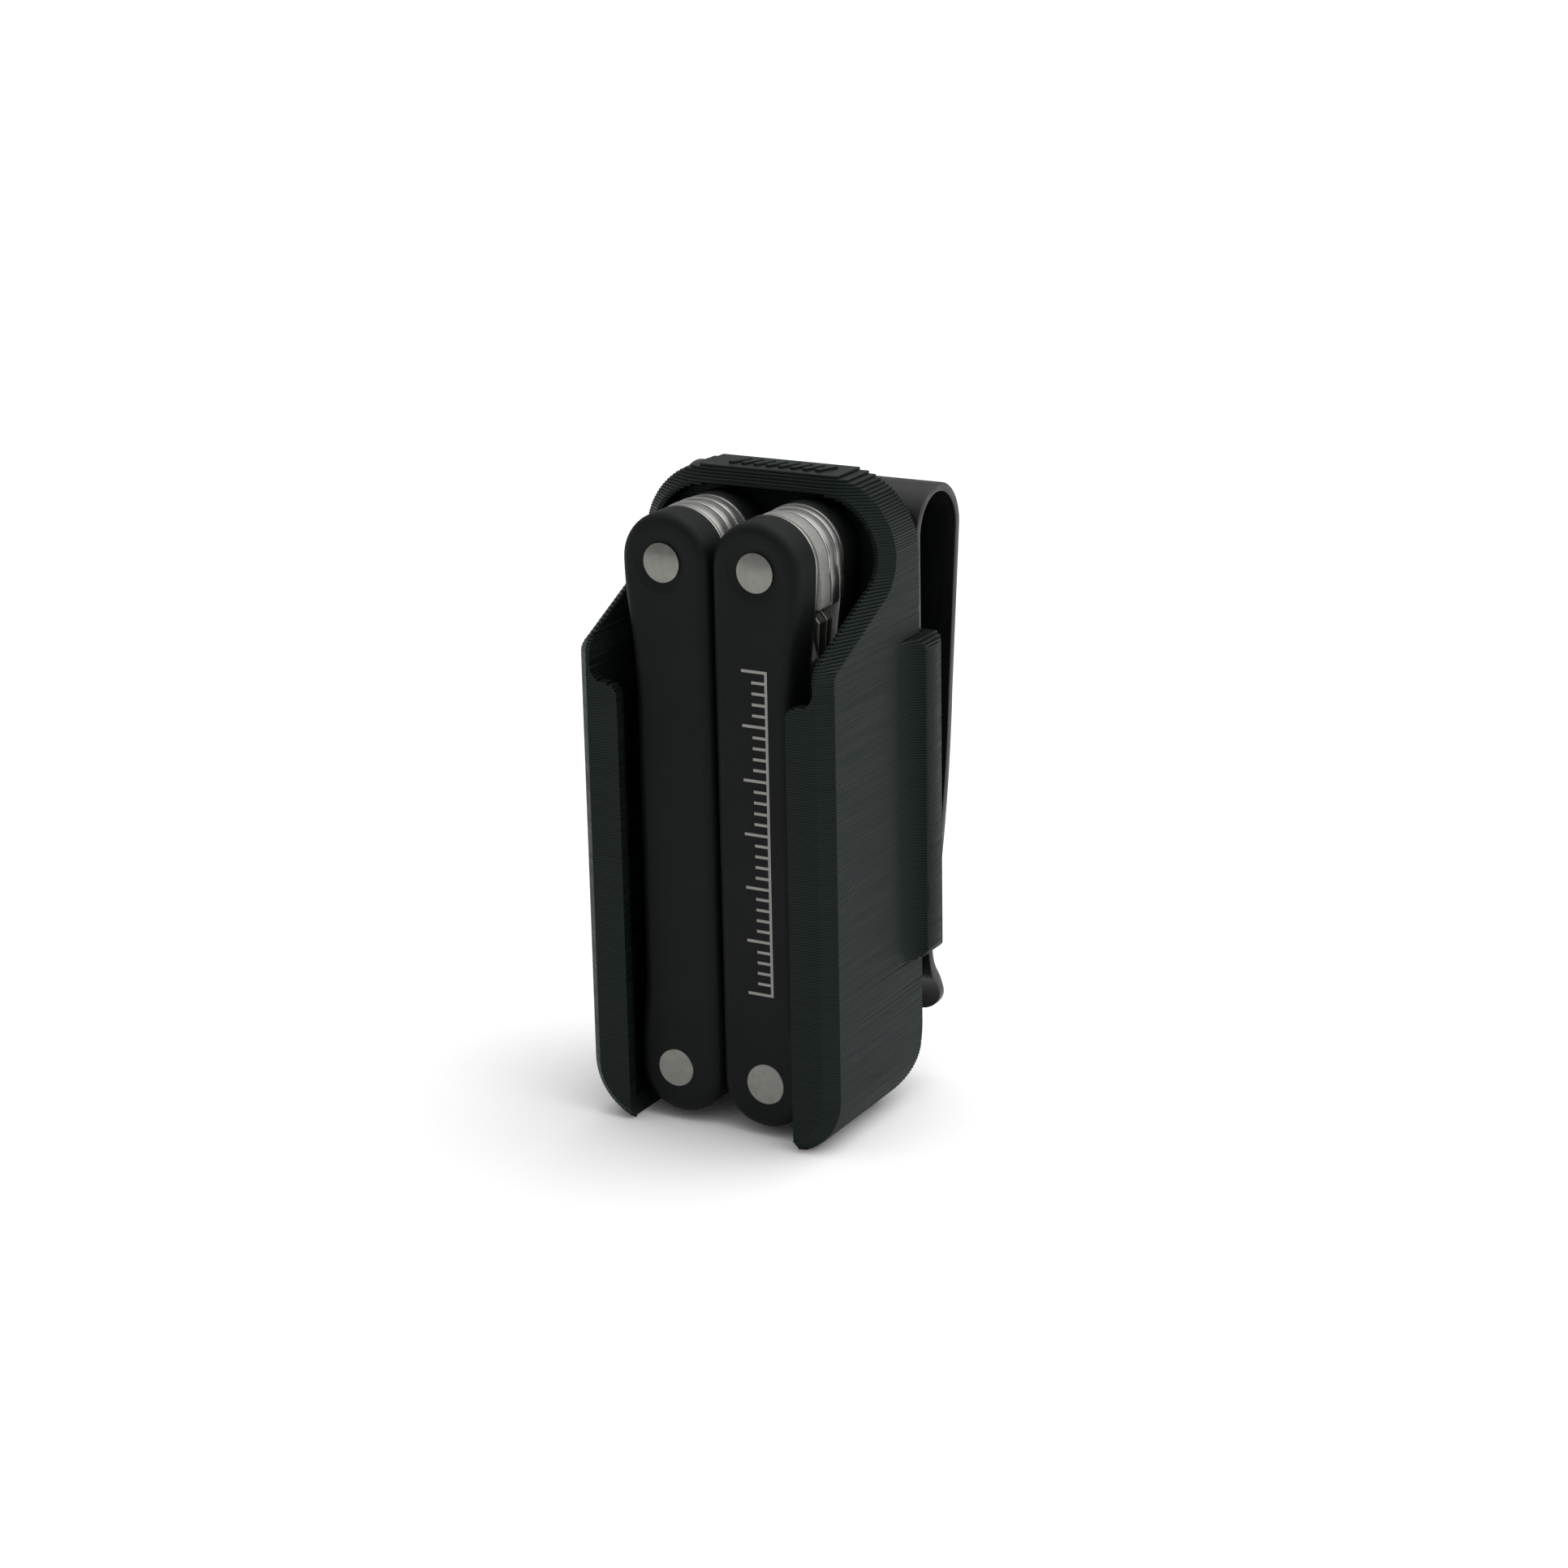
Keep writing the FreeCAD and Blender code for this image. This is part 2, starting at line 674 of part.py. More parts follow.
def all_nodes():
    front_lap = (HEAD_FRONT, (HEAD_FRONT + HEAD_BACK) / 2 - 0.03)
    back_lap = ((HEAD_FRONT + HEAD_BACK) / 2 + 0.03, HEAD_BACK)
    nodes = {
        "holster_shell": holster_shell(),
        "belt_clip_base": clip_base(),
        "belt_clip_loop": clip_loop(),
        "belt_clip_arm": clip_arm(),
        "left_plier_half": plier_half(front_lap),
        "right_plier_half": mirrored(plier_half(back_lap)),
        "plier_pivot_pin": head_pin(),
        "left_jaw_spring": mirrored(jaw_spring()),
        "right_jaw_spring": jaw_spring(),
        "knife_blade": mirrored(knife()),
        "nail_file": mirrored(nail_file()),
        "flat_screwdriver": mirrored(flat_driver()),
        "scissor_frame": scissor_frame(),
        "scissor_blade": scissor_blade(),
        "scissor_screw": scissor_screw(),
        "scissor_spring": scissor_spring(),
        "bottle_opener": bottle_opener(),
        "phillips_screwdriver": phillips_driver(),
    }
    nodes.update(handle_nodes("left", 1.8))
    nodes.update(handle_nodes("right", 1.91))
    return nodes


def main():
    os.makedirs("parts", exist_ok=True)
    for name, shape in all_nodes().items():
        shape.translated(ORIGIN).exportStep(f"parts/{name}.step")


main()
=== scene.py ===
import json
from math import cos, radians, sin

import bpy
from bpy.props import FloatProperty, FloatVectorProperty, IntProperty, PointerProperty, StringProperty
from mathutils import Matrix, Vector
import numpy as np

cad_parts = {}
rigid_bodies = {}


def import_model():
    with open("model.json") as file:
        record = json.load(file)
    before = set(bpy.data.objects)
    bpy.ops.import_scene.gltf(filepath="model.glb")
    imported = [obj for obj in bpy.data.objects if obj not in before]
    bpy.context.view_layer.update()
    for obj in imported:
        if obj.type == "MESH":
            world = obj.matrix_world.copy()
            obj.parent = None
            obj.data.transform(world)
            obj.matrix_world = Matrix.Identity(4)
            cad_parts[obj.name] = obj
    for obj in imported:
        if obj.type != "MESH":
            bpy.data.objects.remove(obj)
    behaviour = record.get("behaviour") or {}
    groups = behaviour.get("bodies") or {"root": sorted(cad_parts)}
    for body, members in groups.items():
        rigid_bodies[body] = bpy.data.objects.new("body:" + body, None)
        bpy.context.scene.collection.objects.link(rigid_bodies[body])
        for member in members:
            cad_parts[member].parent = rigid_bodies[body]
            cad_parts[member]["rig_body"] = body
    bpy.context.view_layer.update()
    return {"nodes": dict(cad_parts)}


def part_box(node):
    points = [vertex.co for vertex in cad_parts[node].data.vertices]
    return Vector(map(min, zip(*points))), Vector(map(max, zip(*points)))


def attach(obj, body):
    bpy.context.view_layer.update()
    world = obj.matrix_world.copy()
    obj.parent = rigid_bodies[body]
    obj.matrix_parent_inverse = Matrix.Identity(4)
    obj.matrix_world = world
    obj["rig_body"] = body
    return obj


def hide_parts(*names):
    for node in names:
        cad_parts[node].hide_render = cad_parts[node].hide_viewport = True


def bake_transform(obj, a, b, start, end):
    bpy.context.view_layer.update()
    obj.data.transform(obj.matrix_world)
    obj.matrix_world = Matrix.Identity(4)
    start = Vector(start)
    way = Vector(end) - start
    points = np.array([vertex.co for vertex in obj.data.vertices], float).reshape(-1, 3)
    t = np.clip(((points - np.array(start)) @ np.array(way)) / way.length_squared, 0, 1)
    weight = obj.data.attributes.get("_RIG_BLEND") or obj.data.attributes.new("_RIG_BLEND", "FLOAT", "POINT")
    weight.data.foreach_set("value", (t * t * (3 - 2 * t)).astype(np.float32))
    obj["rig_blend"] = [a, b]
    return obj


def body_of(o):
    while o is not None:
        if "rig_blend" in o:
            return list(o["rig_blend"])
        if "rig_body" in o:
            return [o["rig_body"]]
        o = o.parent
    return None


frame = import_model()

bl_info = {
    "name": "Keychain Plier Tool in its Holster",
    "version": (1, 0, 0),
    "blender": (4, 5, 0),
    "location": "3D View > Sidebar > Tool",
    "description": "Finishes a folded plier tool, its printed holster and its belt clip",
    "category": "Object",
}

MM = 0.001
NODES = frame["nodes"]
SHELL_LOW, SHELL_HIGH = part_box("holster_shell")
SCALE_LOW, SCALE_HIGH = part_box("right_front_scale")
LEAF_LOW, LEAF_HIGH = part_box("belt_clip_base")

HANDLES = ("left", "right")
SCALES = [f"{side}_{place}_scale" for side in HANDLES for place in ("front", "back")]
LINERS = [f"{side}_{place}_liner" for side in HANDLES for place in ("front", "back")]
RIVETS = [f"{side}_{kind}_rivet" for side in HANDLES for kind in ("implement", "plier")]
WASHERS = [f"{side}_{kind}" for side in HANDLES for kind in ("stack_washers", "plier_spacers")]
SPRINGS = [f"{side}_{kind}" for side in HANDLES for kind in ("backspring", "jaw_spring")] + ["scissor_spring"]
JAWS = [f"{side}_plier_half" for side in HANDLES]
BLADES = [
    "knife_blade",
    "nail_file",
    "flat_screwdriver",
    "scissor_blade",
    "bottle_opener",
    "phillips_screwdriver",
]
BLASTED = ["scissor_frame"]
PINS = ["plier_pivot_pin", "scissor_screw"]
CLIP_PARTS = ("belt_clip_base", "belt_clip_loop", "belt_clip_arm")

FLAT = 0.9               # a face lies flat where its normal's height is over this
BEND_DEPTH = 1.1 * MM    # the clip bends within this much behind its held leaf

# the grip bars on the hood
BAR_WIDTH, BAR_LENGTH, BAR_PITCH = 0.55 * MM, 2.3 * MM, 1.25 * MM
BAR_SHIFT = 0.5 * MM     # how far the row sits to the right of the middle
BAR_INSET = 2.45 * MM    # from the held leaf of the clip to the middle of the row
BAR_LEAN = -24           # degrees
BAR_EDGE = 0.1 * MM

# the ruler on the right front scale, from that scale's lower left corner
RULER_START, RULER_EDGE = 12.9 * MM, 5.3 * MM
RULER_LINE = 0.26 * MM   # how thick each line is
SHORT_MARK, LONG_MARK = 1.3 * MM, 2.3 * MM
RULER_STEPS, LONG_EVERY = 30, 5
RULER_DEPTH = 0.05 * MM  # only the flat front is marked


# ---- sizes and colours that a user would change -----------------------------------------------------
class HolsterSettings(bpy.types.PropertyGroup):
    layer_height: FloatProperty(
        name="Layer height",
        description="Height of one printed layer, rounded so that a whole number of them fits",
        default=0.25 * MM,
        precision=5,
        unit="LENGTH",
    )
    groove: FloatProperty(
        name="Groove",
        description="How far a layer's edges draw in where it meets the next one",
        default=0.045 * MM,
        precision=5,
        unit="LENGTH",
    )
    colour: StringProperty(name="Plastic", description="Printed plastic, sRGB hex", default="0A0D0D")
    bar_count: IntProperty(name="Grip bars", description="Raised bars on top of the hood", default=8)
    bar_height: FloatProperty(
        name="Bar height",
        description="How far the bars stand up",
        default=0.25 * MM,
        precision=5,
        unit="LENGTH",
    )


class ClipSettings(bpy.types.PropertyGroup):
    edge: FloatProperty(
        name="Edge radius",
        description="Tumbled edge of the strip",
        default=0.15 * MM,
        precision=5,
        unit="LENGTH",
    )
    colour: StringProperty(name="Coating", description="Black coating, sRGB hex", default="060708")


class ToolSettings(bpy.types.PropertyGroup):
    scale_colour: StringProperty(name="Anodising", description="Handle scales, sRGB hex", default="070909")
    mark_colour: StringProperty(name="Laser mark", description="Ruler marks, sRGB hex", default="8C8B86")
    mark_pitch: FloatProperty(
        name="Mark spacing",
        description="Distance between ruler marks",
        default=1.0 * MM,
        precision=5,
        unit="LENGTH",
    )
    steel_colour: StringProperty(name="Steel", description="Satin stainless, sRGB hex", default="9D9E9A")
    edge: FloatProperty(
        name="Steel edge radius",
        description="Broken edges",
        default=0.07 * MM,
        precision=5,
        unit="LENGTH",
    )


class StageSettings(bpy.types.PropertyGroup):
    floor_size: FloatProperty(name="Floor size", description="Side of the floor", default=6.0, unit="LENGTH")
    azimuth: FloatProperty(
        name="Camera azimuth",
        description="How far the camera is round to the right",
        default=radians(29.02),
        unit="ROTATION",
    )
    elevation: FloatProperty(
        name="Camera elevation",
        description="Its height over the horizon",
        default=radians(17.35),
        unit="ROTATION",
    )
    roll: FloatProperty(name="Camera roll", description="Its lean", default=radians(-1.16), unit="ROTATION")
    distance: FloatProperty(
        name="Camera distance",
        description="From the middle of the tool's front",
        default=317.1 * MM,
        unit="LENGTH",
    )
    aim: FloatVectorProperty(
        name="Aim",
        description="The camera's sideways and upward shift from the middle",
        size=2,
        default=(6.22 * MM, 3.89 * MM),
        unit="LENGTH",
    )
    focal_length: FloatProperty(
        name="Focal length",
        description="For a 36 mm wide sensor, in mm",
        default=81.85,
    )


SETTINGS = {
    "tool_holster": HolsterSettings,
    "tool_clip": ClipSettings,
    "tool_pieces": ToolSettings,
    "tool_stage": StageSettings,
}


# ---- helpers: colour, nodes, meshes -----------------------------------------------------------------
def linear(code, alpha=1.0):
    """An sRGB hex code as linear red, green, blue and alpha."""
    parts = [int(code[n : n + 2], 16) / 255 for n in (0, 2, 4)]
    return tuple(p / 12.92 if p <= 0.04045 else ((p + 0.055) / 1.055) ** 2.4 for p in parts) + (alpha,)


def add(tree, kind, inputs=None, **settings):
    """A new shader node. Its inputs are values or other nodes' outputs, by name or by number."""
    made = tree.nodes.new("ShaderNode" + kind)
    for name, value in settings.items():
        setattr(made, name, value)
    for name, value in (inputs or {}).items():
        if isinstance(value, bpy.types.NodeSocket):
            tree.links.new(value, made.inputs[name])
        else:
            made.inputs[name].default_value = value
    return made


def scaled(colour, times):
    """The colour made so many times as bright."""
    return tuple(part * times for part in colour[:3]) + (1.0,)


def new_material(name, **constants):
    """A material with its shader's plain values set, and its place node's Object output."""
    material = bpy.data.materials.new(name)
    material.use_nodes = True
    tree = material.node_tree
    shader = tree.nodes["Principled BSDF"]
    for key, value in constants.items():
        shader.inputs[key.replace("_", " ").title().replace("Ior", "IOR")].default_value = value
    place = add(tree, "TexCoord").outputs["Object"]
    return material, tree, shader, place


def select_only(*pieces):
    bpy.ops.object.select_all(action="DESELECT")
    for piece in pieces:
        piece.select_set(True)
    bpy.context.view_layer.objects.active = pieces[0]


def select_faces(piece, wanted):
    """Enters edit mode with only the faces selected that wanted accepts."""
    select_only(piece)
    bpy.ops.object.mode_set(mode="EDIT")
    bpy.ops.mesh.select_mode(type="FACE")
    bpy.ops.mesh.select_all(action="DESELECT")
    bpy.ops.object.mode_set(mode="OBJECT")
    for polygon in piece.data.polygons:
        polygon.select = wanted(polygon)
    bpy.ops.object.mode_set(mode="EDIT")


def merged_copy(node_names, name):
    """One new object made of copies of CAD nodes, with each vertex there once."""
    copies = []
    for node_name in node_names:
        copy = bpy.data.objects.new(name, NODES[node_name].data.copy())
        bpy.context.scene.collection.objects.link(copy)
        copies.append(copy)
    select_only(*copies)
    if len(copies) > 1:
        bpy.ops.object.join()
    piece = bpy.context.object
    piece.name = name
    bpy.ops.object.mode_set(mode="EDIT")
    bpy.ops.mesh.select_all(action="SELECT")
    bpy.ops.mesh.remove_doubles(threshold=1e-6)
    bpy.ops.object.mode_set(mode="OBJECT")
    return piece


def give(piece, material):
    piece.data.materials.clear()
    piece.data.materials.append(material)


def dress(names, material):
    """Puts a material on CAD nodes."""
    for name in names:
        slots = NODES[name].material_slots
        for slot in slots:
            slot.material = material
        if not slots:
            NODES[name].data.materials.append(material)


def smooth(piece, degrees=30):
    select_only(piece)
    bpy.ops.object.shade_smooth_by_angle(angle=radians(degrees), keep_sharp_edges=False)


# ---- materials --------------------------------------------------------------------------------------
def printed_plastic(settings):
    """PLA, laid down in layers: a dull sheen and fine grain. Each layer's colour is made paler or darker at
    random as painted sheen, and its roughness varies with it.
    """
    name, colour = "PLA, printed in layers, black", linear(settings.colour)
    if name in bpy.data.materials:
        return bpy.data.materials[name]
    sheen = linear("E2FFF8")
    material, tree, shader, place = new_material(name, ior=1.46, specular_ior_level=0.2, specular_tint=sheen)
    # streaks as high as one layer and some 10 mm long; they change the roughness and paint sheen into the
    # colour
    flattened = add(tree, "Mapping", {"Vector": place, "Scale": (0.03, 0.03, 1.0)})
    streaks = add(tree, "TexNoise", {"Vector": flattened.outputs["Vector"], "Scale": 3.2 / MM, "Detail": 3.0})
    # the plastic's own grain is under 0.1 mm; it is drawn at 0.4 mm, or it would not show
    grain = add(tree, "TexNoise", {"Vector": place, "Scale": 2.6 / MM, "Detail": 3.0})
    bump = add(tree, "Bump", {"Height": grain.outputs["Fac"], "Distance": 0.03 * MM, "Strength": 0.5})
    streak = {"Value": streaks.outputs["Fac"], "From Min": 0.3, "From Max": 0.7}
    shade = add(tree, "MapRange", streak).outputs["Result"]
    # painted sheen: the colour runs from the plastic's own up to 2.4 times as pale along the streaks
    base = add(tree, "Mix", {0: shade, 6: colour, 7: scaled(colour, 2.4)}, data_type="RGBA")
    rough = add(tree, "MapRange", {**streak, "To Min": 0.42, "To Max": 0.6})
    tree.links.new(base.outputs[2], shader.inputs["Base Color"])
    tree.links.new(rough.outputs["Result"], shader.inputs["Roughness"])
    tree.links.new(bump.outputs["Normal"], shader.inputs["Normal"])
    return material


def anodised(settings, marked):
    """Hard anodised aluminium, bead blasted first: a dark, dry, fine-grained skin. Marks are lasered grey."""
    name = "Hard anodised aluminium, black, lasered" if marked else "Hard anodised aluminium, black"
    colour = linear(settings.scale_colour)
    material, tree, shader, place = new_material(name, ior=1.5, specular_ior_level=0.13)
    # blasting pits are about 0.05 mm wide; they are drawn at 0.25 mm, or they would not show
    grain = add(tree, "TexNoise", {"Vector": place, "Scale": 4.2 / MM, "Detail": 2.0})
    # uneven dye and handling, in patches of some 6 mm
    cloud = add(tree, "TexNoise", {"Vector": place, "Scale": 0.16 / MM, "Detail": 5.0})
    bump = add(tree, "Bump", {"Height": grain.outputs["Fac"], "Distance": 0.02 * MM, "Strength": 0.35})
    patch = {0: cloud.outputs["Fac"], 6: colour, 7: scaled(colour, 1.9)}
    base = add(tree, "Mix", patch, data_type="RGBA").outputs[2]
    if marked:
        lasered = {0: ruler_marks(tree, place, settings), 6: base, 7: linear(settings.mark_colour)}
        base = add(tree, "Mix", lasered, data_type="RGBA").outputs[2]
    dull = {"Value": cloud.outputs["Fac"], "From Min": 0.3, "From Max": 0.7, "To Min": 0.5, "To Max": 0.62}
    rough = add(tree, "MapRange", dull)
    tree.links.new(base, shader.inputs["Base Color"])
    tree.links.new(rough.outputs["Result"], shader.inputs["Roughness"])
    tree.links.new(bump.outputs["Normal"], shader.inputs["Normal"])
    return material


def between(tree, value, low, high):
    """1 where value is from low to high, else 0."""
    above = add(tree, "Math", {0: value, 1: low}, operation="GREATER_THAN").outputs[0]
    below = add(tree, "Math", {0: value, 1: high}, operation="LESS_THAN").outputs[0]
    return add(tree, "Math", {0: above, 1: below}, operation="MULTIPLY").outputs[0]


def repeated(tree, value, pitch, width):
    """1 in a stripe of that width every pitch, else 0."""
    part = add(tree, "Math", {0: value, 1: pitch}, operation="FLOORED_MODULO")
    return between(tree, part.outputs[0], -1.0, width)


def ruler_marks(tree, place, settings):
    """A plain ruler up the handle: a baseline, a short mark every step and a long one every fifth."""
    xyz = add(tree, "SeparateXYZ", {"Vector": place})
    across, depth = xyz.outputs["X"], xyz.outputs["Y"]
    start, right = SCALE_LOW[2] + RULER_START, SCALE_LOW[0] + RULER_EDGE
    up = add(tree, "Math", {0: xyz.outputs["Z"], 1: start}, operation="SUBTRACT").outputs[0]
    step = settings.mark_pitch
    front = between(tree, depth, -1.0, SCALE_LOW[1] + RULER_DEPTH)
    run = between(tree, up, 0.0, RULER_STEPS * step + RULER_LINE)
    short = between(tree, across, right - SHORT_MARK, right)
    long = between(tree, across, right - LONG_MARK, right)
    baseline = between(tree, across, right, right + RULER_LINE)
    every = repeated(tree, up, step, RULER_LINE)
    fifth = repeated(tree, up, LONG_EVERY * step, RULER_LINE)
    shorts = add(tree, "Math", {0: every, 1: short}, operation="MULTIPLY").outputs[0]
    longs = add(tree, "Math", {0: fifth, 1: long}, operation="MULTIPLY").outputs[0]
    marks = add(tree, "Math", {0: shorts, 1: longs}, operation="MAXIMUM").outputs[0]
    drawn = add(tree, "Math", {0: marks, 1: baseline}, operation="MAXIMUM").outputs[0]
    held = add(tree, "Math", {0: drawn, 1: run}, operation="MULTIPLY").outputs[0]
    return add(tree, "Math", {0: held, 1: front}, operation="MULTIPLY").outputs[0]


def steel(name, code, low, high, along=(1.0, 1.0, 1.0), per_mm=0.9, depth=0.01):
    """Stainless steel: grain drawn out along the axes that are scaled down, dulled in patches by handling.

    Real grain is about 0.05 mm wide. It is drawn at 0.4 to 1.1 mm, or it would not show.
    The roughness runs from low to high, per_mm is how many grains a millimetre has, and depth is in mm.
    """
    colour = linear(code)
    material, tree, shader, place = new_material(name, metallic=1.0)
    stretch = add(tree, "Mapping", {"Vector": place, "Scale": along})
    grain = add(tree, "TexNoise", {"Vector": stretch.outputs["Vector"], "Scale": per_mm / MM, "Detail": 3.0})
    smudge = add(tree, "TexNoise", {"Vector": place, "Scale": 0.18 / MM, "Detail": 3.0})
    bump = add(tree, "Bump", {"Height": grain.outputs["Fac"], "Distance": depth * MM, "Strength": 0.3})
    worn = {0: grain.outputs["Fac"], 1: smudge.outputs["Fac"]}
    wear = add(tree, "Math", worn, operation="MULTIPLY").outputs[0]
    shade = add(tree, "MapRange", {"Value": wear, "From Min": 0.12, "From Max": 0.4})
    tones = {0: shade.outputs["Result"], 6: scaled(colour, 0.8), 7: colour}
    base = add(tree, "Mix", tones, data_type="RGBA")
    dull = {"Value": smudge.outputs["Fac"], "From Min": 0.3, "From Max": 0.7, "To Min": low, "To Max": high}
    rough = add(tree, "MapRange", dull)
    tree.links.new(base.outputs[2], shader.inputs["Base Color"])
    tree.links.new(rough.outputs["Result"], shader.inputs["Roughness"])
    tree.links.new(bump.outputs["Normal"], shader.inputs["Normal"])
    return material


def coated_spring_steel(settings):
    """Spring steel with a black coating: smooth, satin, with faint drawing lines along the strip."""
    colour = linear(settings.colour)
    name = "Spring steel, black coated"
    material, tree, shader, place = new_material(name, ior=1.5, specular_ior_level=0.3)
    # drawing lines are about 0.1 mm apart; they are drawn at 0.7 mm, or they would not show
    stretch = add(tree, "Mapping", {"Vector": place, "Scale": (1.0, 0.06, 0.06)})
    lines = add(tree, "TexNoise", {"Vector": stretch.outputs["Vector"], "Scale": 1.5 / MM, "Detail": 3.0})
    grain = add(tree, "TexNoise", {"Vector": place, "Scale": 3.0 / MM, "Detail": 2.0})
    both = {0: lines.outputs["Fac"], 1: grain.outputs["Fac"]}
    height = add(tree, "Math", both, operation="ADD")
    bump = add(tree, "Bump", {"Height": height.outputs[0], "Distance": 0.012 * MM, "Strength": 0.4})
    base = add(tree, "Mix", {0: lines.outputs["Fac"], 6: colour, 7: scaled(colour, 1.6)}, data_type="RGBA")
    dull = {"Value": lines.outputs["Fac"], "From Min": 0.3, "From Max": 0.7, "To Min": 0.3, "To Max": 0.42}
    rough = add(tree, "MapRange", dull)
    tree.links.new(base.outputs[2], shader.inputs["Base Color"])
    tree.links.new(rough.outputs["Result"], shader.inputs["Roughness"])
    tree.links.new(bump.outputs["Normal"], shader.inputs["Normal"])
    return material


# ---- pieces -----------------------------------------------------------------------------------------
def level_section(source, level):
    """The flat face that a level cut through a closed piece leaves."""
    piece = bpy.data.objects.new("layer", source.data.copy())
    bpy.context.scene.collection.objects.link(piece)
    select_only(piece)
    bpy.ops.object.mode_set(mode="EDIT")
    bpy.ops.mesh.select_all(action="SELECT")
    bpy.ops.mesh.bisect(
        plane_co=(0, 0, level),
        plane_no=(0, 0, 1),
        use_fill=True,
        clear_inner=True,
        clear_outer=True,
        threshold=1e-7,
    )
    bpy.ops.mesh.select_all(action="SELECT")
    bpy.ops.mesh.remove_doubles(threshold=0.05 * MM)
    bpy.ops.mesh.dissolve_limited(angle_limit=radians(2))
    bpy.ops.mesh.quads_convert_to_tris()
    bpy.ops.object.mode_set(mode="OBJECT")
    return piece


def raise_layers(piece, layer, groove):
    """Gives every section its height, and draws its upper and lower edges in by the groove."""
    wall = piece.modifiers.new("Layer height", "SOLIDIFY")
    wall.thickness = layer - 2 * groove
    wall.offset = 0
    select_only(piece)
    bpy.ops.object.modifier_apply(modifier=wall.name)
    select_faces(piece, lambda face: abs(face.normal.z) > FLAT)
    bpy.ops.mesh.inset(thickness=groove, depth=groove, use_even_offset=False)
    bpy.ops.mesh.select_all(action="SELECT")
    bpy.ops.mesh.normals_make_consistent(inside=False)
    bpy.ops.object.mode_set(mode="OBJECT")


class OBJECT_OT_printed_shell(bpy.types.Operator):
    """The holster's shell as it is printed: one flat layer on another"""

    bl_idname = "object.tool_printed_shell"
    bl_label = "Printed shell"

    def execute(self, context):
        settings = context.scene.tool_holster
        source = merged_copy(["holster_shell"], "shell_source")
        lowest, height = SHELL_LOW[2], SHELL_HIGH[2] - SHELL_LOW[2]
        count = round(height / settings.layer_height)
        layer = height / count
        sections = [level_section(source, lowest + (number + 0.5) * layer) for number in range(count)]
        bpy.data.objects.remove(source)
        select_only(*sections)
        bpy.ops.object.join()
        piece = context.object
        piece.name = "printed_shell"
        raise_layers(piece, layer, settings.groove)
        give(piece, printed_plastic(settings))
        smooth(piece, 25)
        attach(piece, "holster")
        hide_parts("holster_shell")
        return {"FINISHED"}


def hood_bar(place, height):
    """One slanting bar, half sunk in the hood, with rounded edges."""
    bpy.ops.mesh.primitive_cube_add(size=1.0, location=place)
    bar = bpy.context.object
    bar.dimensions = (BAR_WIDTH, BAR_LENGTH, 2 * height)
    bpy.ops.object.transform_apply(location=False, rotation=False, scale=True)
    bar.rotation_euler.z = radians(BAR_LEAN)
    bpy.ops.object.mode_set(mode="EDIT")
    bpy.ops.mesh.select_all(action="SELECT")
    bpy.ops.mesh.bevel(offset=BAR_EDGE, segments=3, affect="EDGES")
    bpy.ops.object.mode_set(mode="OBJECT")
    return bar


class OBJECT_OT_hood_bars(bpy.types.Operator):
    """Raised slanting bars on the flat top of the hood"""

    bl_idname = "object.tool_hood_bars"
    bl_label = "Hood bars"

    def execute(self, context):
        settings = context.scene.tool_holster
        first = BAR_SHIFT - BAR_PITCH * (settings.bar_count - 1) / 2
        place = Vector((first, LEAF_LOW[1] - BAR_INSET, SHELL_HIGH[2]))
        bars = [hood_bar(place, settings.bar_height)]
        for number in range(1, settings.bar_count):
            bar = bars[0].copy()
            bar.data = bars[0].data.copy()
            bar.location.x = first + number * BAR_PITCH
            context.scene.collection.objects.link(bar)
            bars.append(bar)
        select_only(*bars)
        bpy.ops.object.join()
        piece = context.object
        piece.name = "hood_bars"
        bpy.ops.object.transform_apply(location=True, rotation=True, scale=True)
        give(piece, printed_plastic(settings))
        smooth(piece, 40)
        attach(piece, "holster")
        return {"FINISHED"}


class OBJECT_OT_belt_clip(bpy.types.Operator):
    """The belt clip as one bent strip, which flexes at its loop"""

    bl_idname = "object.tool_belt_clip"
    bl_label = "Belt clip"

    def execute(self, context):
        settings = context.scene.tool_clip
        piece = merged_copy(CLIP_PARTS, "belt_clip_strip")
        joint = LEAF_HIGH[2]
        select_faces(piece, lambda face: abs(face.normal.z) > FLAT and abs(face.center.z - joint) < 1e-6)
        bpy.ops.mesh.delete(type="FACE")
        bpy.ops.mesh.select_all(action="SELECT")
        bpy.ops.mesh.remove_doubles(threshold=5e-6)
        bpy.ops.mesh.dissolve_limited(angle_limit=radians(1))
        bpy.ops.object.mode_set(mode="OBJECT")
        bevel = piece.modifiers.new("Tumbled edge", "BEVEL")
        bevel.width = settings.edge
        bevel.segments = 3
        bevel.angle_limit = radians(50)
        bpy.ops.object.modifier_apply(modifier=bevel.name)
        give(piece, coated_spring_steel(settings))
        smooth(piece, 35)
        held, free = LEAF_HIGH[1], LEAF_HIGH[1] + BEND_DEPTH
        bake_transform(piece, "holster", "clip_arm", start=(0, held, joint), end=(0, free, joint))
        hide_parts(*CLIP_PARTS)
        return {"FINISHED"}


class OBJECT_OT_scales(bpy.types.Operator):
    """The black handle scales; the right front one carries a plain ruler"""

    bl_idname = "object.tool_scales"
    bl_label = "Handle scales"

    def execute(self, context):
        settings = context.scene.tool_pieces
        dress(SCALES, anodised(settings, marked=False))
        dress(["right_front_scale"], anodised(settings, marked=True))
        return {"FINISHED"}


